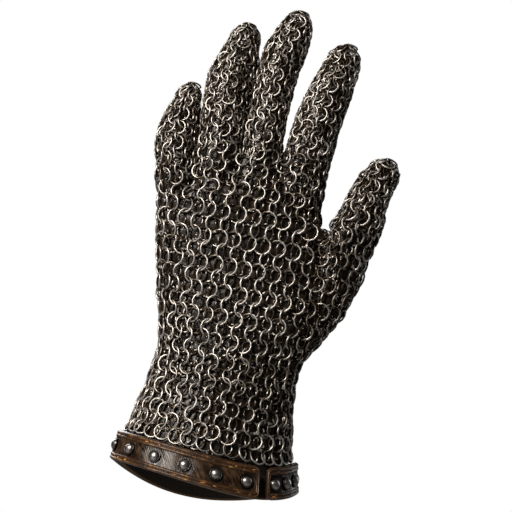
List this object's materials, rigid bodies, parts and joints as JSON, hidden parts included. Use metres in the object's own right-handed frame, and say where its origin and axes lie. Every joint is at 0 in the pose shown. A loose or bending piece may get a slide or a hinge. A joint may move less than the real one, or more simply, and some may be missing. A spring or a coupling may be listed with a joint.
{
  "type": "chainmail glove",
  "caption": "Left-hand glove of linked steel rings over a dark leather glove, with a riveted leather strap round its flared cuff",
  "frame": {"origin": "middle of the cuff's mouth, level with the two sides of its rim, where the wrist goes in", "axes": "+Z from the cuff to the fingertips, -Y out of the back of the hand, +X to the thumb's side"},
  "size_m": [0.155, 0.094, 0.3104],
  "materials": {
    "mail_steel": "oiled dark steel wire rings, bright where they rub",
    "glove_leather": "matte near-black brown glove leather",
    "strap_leather": "waxed dark brown strap leather",
    "binding_leather": "worn lighter brown edge binding",
    "rivet_steel": "dull steel dome rivets"
  },
  "bodies": {
    "root": {"mail_cuff": "mail_steel", "mail_wrist": "mail_steel", "mail_palm": "mail_steel", "mail_thumb": "mail_steel", "mail_index": "mail_steel", "mail_middle": "mail_steel", "mail_ring": "mail_steel", "mail_little": "mail_steel", "leather_hand": "glove_leather", "leather_thumb": "glove_leather", "leather_index": "glove_leather", "leather_middle": "glove_leather", "leather_ring": "glove_leather", "leather_little": "glove_leather", "cuff_strap": "strap_leather", "edge_binding": "binding_leather", "rivet_01": "rivet_steel", "rivet_02": "rivet_steel", "rivet_03": "rivet_steel", "rivet_04": "rivet_steel", "rivet_05": "rivet_steel", "rivet_06": "rivet_steel", "rivet_07": "rivet_steel", "rivet_08": "rivet_steel", "rivet_09": "rivet_steel", "rivet_10": "rivet_steel", "rivet_11": "rivet_steel", "rivet_12": "rivet_steel", "rivet_13": "rivet_steel", "rivet_14": "rivet_steel", "rivet_15": "rivet_steel", "rivet_16": "rivet_steel", "rivet_17": "rivet_steel"}
  },
  "joints": []
}
